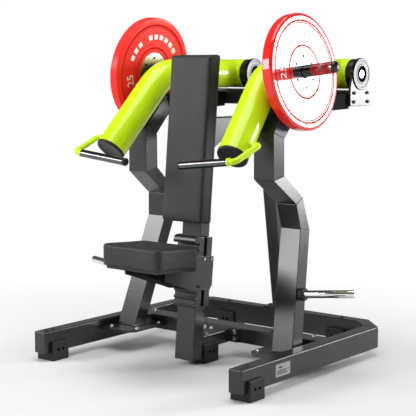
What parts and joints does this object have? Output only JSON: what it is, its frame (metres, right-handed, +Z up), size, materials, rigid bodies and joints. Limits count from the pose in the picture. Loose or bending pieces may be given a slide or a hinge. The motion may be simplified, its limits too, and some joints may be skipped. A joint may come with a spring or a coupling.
{
  "type": "chest press machine",
  "caption": "Plate-loaded seated chest press with two independent swinging arms, sliding seat, padded backrest and plate storage pegs on a bolted tube frame.",
  "frame": {"origin": "middle of the footprint's bounding box, on the floor", "axes": "+X to the right of a person standing behind the machine and facing the way its user faces, +Y to the rear of the machine, +Z up; the user faces -Y; X = 0 is the mirror plane"},
  "size_m": [1.3432, 1.087, 1.3796],
  "materials": {
    "frame_paint": "satin powder coat, charcoal",
    "lime_paint": "gloss powder coat, lime yellow",
    "black_paint": "satin black",
    "plate_red": "gloss red",
    "steel_bare": "brushed",
    "chrome": "polished, grips knurled",
    "rubber_black": "matt moulded rubber",
    "upholstery": "dark grey vinyl"
  },
  "bodies": {
    "frame": {"backrest_cushion": "upholstery", "backrest_post": "frame_paint", "centre_foot": "rubber_black", "centre_spine": "frame_paint", "label_plate": "steel_bare", "left_front_foot": "rubber_black", "left_inner_bearing": "steel_bare", "left_inner_bracket": "frame_paint", "left_leg_plate": "frame_paint", "left_outer_bearing": "steel_bare", "left_outer_bracket": "frame_paint", "left_rail": "frame_paint", "left_rear_foot": "rubber_black", "left_storage_collar": "rubber_black", "left_storage_peg": "chrome", "left_upright": "frame_paint", "link_beam": "frame_paint", "mid_crossbar": "frame_paint", "rear_crossbar": "frame_paint", "rear_post": "frame_paint", "rear_post_plate": "frame_paint", "right_front_foot": "rubber_black", "right_inner_bearing": "steel_bare", "right_inner_bracket": "frame_paint", "right_leg_plate": "frame_paint", "right_outer_bearing": "steel_bare", "right_outer_bracket": "frame_paint", "right_rail": "frame_paint", "right_rear_foot": "rubber_black", "right_storage_collar": "rubber_black", "right_storage_peg": "chrome", "right_upright": "frame_paint", "seat_column": "frame_paint", "seat_rack": "frame_paint", "top_beam": "frame_paint"},
    "left_arm_body": {"left_arm": "lime_paint", "left_arm_cap": "rubber_black", "left_grip": "chrome", "left_grip_cap": "rubber_black", "left_handle_rod": "lime_paint", "left_load_cap": "rubber_black", "left_load_peg": "chrome", "left_pivot_shaft": "chrome"},
    "right_arm_body": {"right_arm": "lime_paint", "right_arm_cap": "rubber_black", "right_grip": "chrome", "right_grip_cap": "rubber_black", "right_handle_rod": "lime_paint", "right_load_cap": "rubber_black", "right_load_peg": "chrome", "right_pivot_shaft": "chrome"},
    "seat": {"left_seat_plate": "frame_paint", "right_seat_plate": "frame_paint", "seat_board": "black_paint", "seat_bracket": "black_paint", "seat_cushion": "upholstery"},
    "left_plate_body": {"left_plate_hub": "steel_bare", "left_weight_plate": "plate_red"},
    "right_plate_body": {"right_plate_hub": "steel_bare", "right_weight_plate": "plate_red"}
  },
  "joints": [
    {"name": "right_press", "type": "hinge", "parent": "frame", "child": "right_arm_body", "pos_m": [0.27, 0.4645, 1.145], "axis": [-1, 0, 0], "range_deg": [0, 40]},
    {"name": "right_plate_slide", "type": "slide", "parent": "right_arm_body", "child": "right_plate_body", "axis": [0.9929, 0, 0.1191], "range_m": [0, 0.22]},
    {"name": "left_press", "type": "hinge", "parent": "frame", "child": "left_arm_body", "pos_m": [-0.27, 0.4645, 1.145], "axis": [-1, 0, 0], "range_deg": [0, 40]},
    {"name": "left_plate_slide", "type": "slide", "parent": "left_arm_body", "child": "left_plate_body", "axis": [-0.9929, 0, 0.1191], "range_m": [0, 0.22]},
    {"name": "seat_height", "type": "slide", "parent": "frame", "child": "seat", "axis": [0, 0.0958, 0.9954], "range_m": [-0.028, 0.056]}
  ]
}
